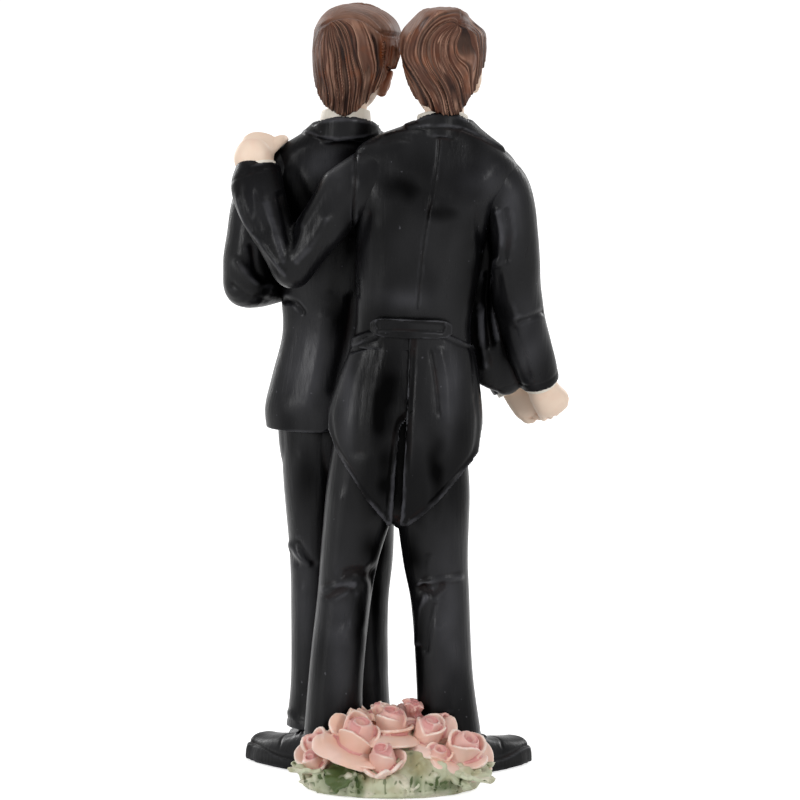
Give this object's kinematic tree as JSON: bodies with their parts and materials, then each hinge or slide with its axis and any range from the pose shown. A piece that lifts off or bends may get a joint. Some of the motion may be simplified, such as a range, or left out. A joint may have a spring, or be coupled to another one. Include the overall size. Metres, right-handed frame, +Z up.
{
  "type": "wedding cake topper",
  "caption": "Cast-resin wedding cake topper: grooms in black formal wear embrace side by side on a leafy plinth of roses, and it stands on its flat underside.",
  "frame": {"origin": "on the flat underside of the plinth, between the feet of the groom in the tailcoat", "axes": "+Z up; +Y the way the grooms face, away from the picture's camera; +X to their right-hand side, which is the picture's right"},
  "size_m": [0.0595, 0.0501, 0.132],
  "materials": {
    "black_enamel": "glossy black enamel brushed over resin",
    "white_paint": "satin cream-white paint",
    "grey_paint": "satin pearl-grey paint",
    "skin_paint": "satin skin-coloured paint",
    "hair_paint": "brown paint with a dark wash in the grooves",
    "rose_paint": "pale pink tinted resin, satin",
    "leaf_paint": "pale grey-green painted resin, satin"
  },
  "bodies": {
    "root": {"tail_right_shoe": "black_enamel", "tail_left_shoe": "black_enamel", "suit_left_shoe": "black_enamel", "suit_right_shoe": "black_enamel", "tail_trousers": "black_enamel", "suit_trousers": "black_enamel", "tail_head": "skin_paint", "suit_head": "skin_paint", "tail_hair": "hair_paint", "suit_hair": "hair_paint", "tail_shirt": "white_paint", "suit_shirt": "white_paint", "tail_waistcoat": "grey_paint", "tail_coat": "black_enamel", "suit_jacket": "black_enamel", "tail_left_tail": "black_enamel", "tail_right_tail": "black_enamel", "tail_half_belt": "black_enamel", "tail_bow_tie": "black_enamel", "suit_bow_tie": "black_enamel", "suit_button_upper": "black_enamel", "suit_button_lower": "black_enamel", "tail_button_upper": "black_enamel", "tail_button_lower": "black_enamel", "tail_right_hand": "skin_paint", "suit_right_hand": "skin_paint", "suit_left_hand": "skin_paint", "tail_left_hand": "skin_paint", "tail_right_cuff": "white_paint", "tail_right_sleeve": "black_enamel", "suit_right_cuff": "white_paint", "suit_right_sleeve": "black_enamel", "suit_left_cuff": "white_paint", "suit_left_sleeve": "black_enamel", "tail_left_cuff": "white_paint", "tail_left_sleeve": "black_enamel", "plinth": "leaf_paint", "rose_1": "rose_paint", "rose_2": "rose_paint", "rose_3": "rose_paint", "rose_4": "rose_paint", "rose_5": "rose_paint", "rose_6": "rose_paint", "rose_7": "rose_paint", "rose_8": "rose_paint", "rose_9": "rose_paint", "rose_10": "rose_paint", "rose_11": "rose_paint", "rose_12": "rose_paint", "rose_13": "rose_paint", "leaf_1": "leaf_paint", "leaf_2": "leaf_paint", "leaf_3": "leaf_paint", "leaf_4": "leaf_paint", "leaf_5": "leaf_paint", "leaf_6": "leaf_paint"}
  },
  "joints": []
}
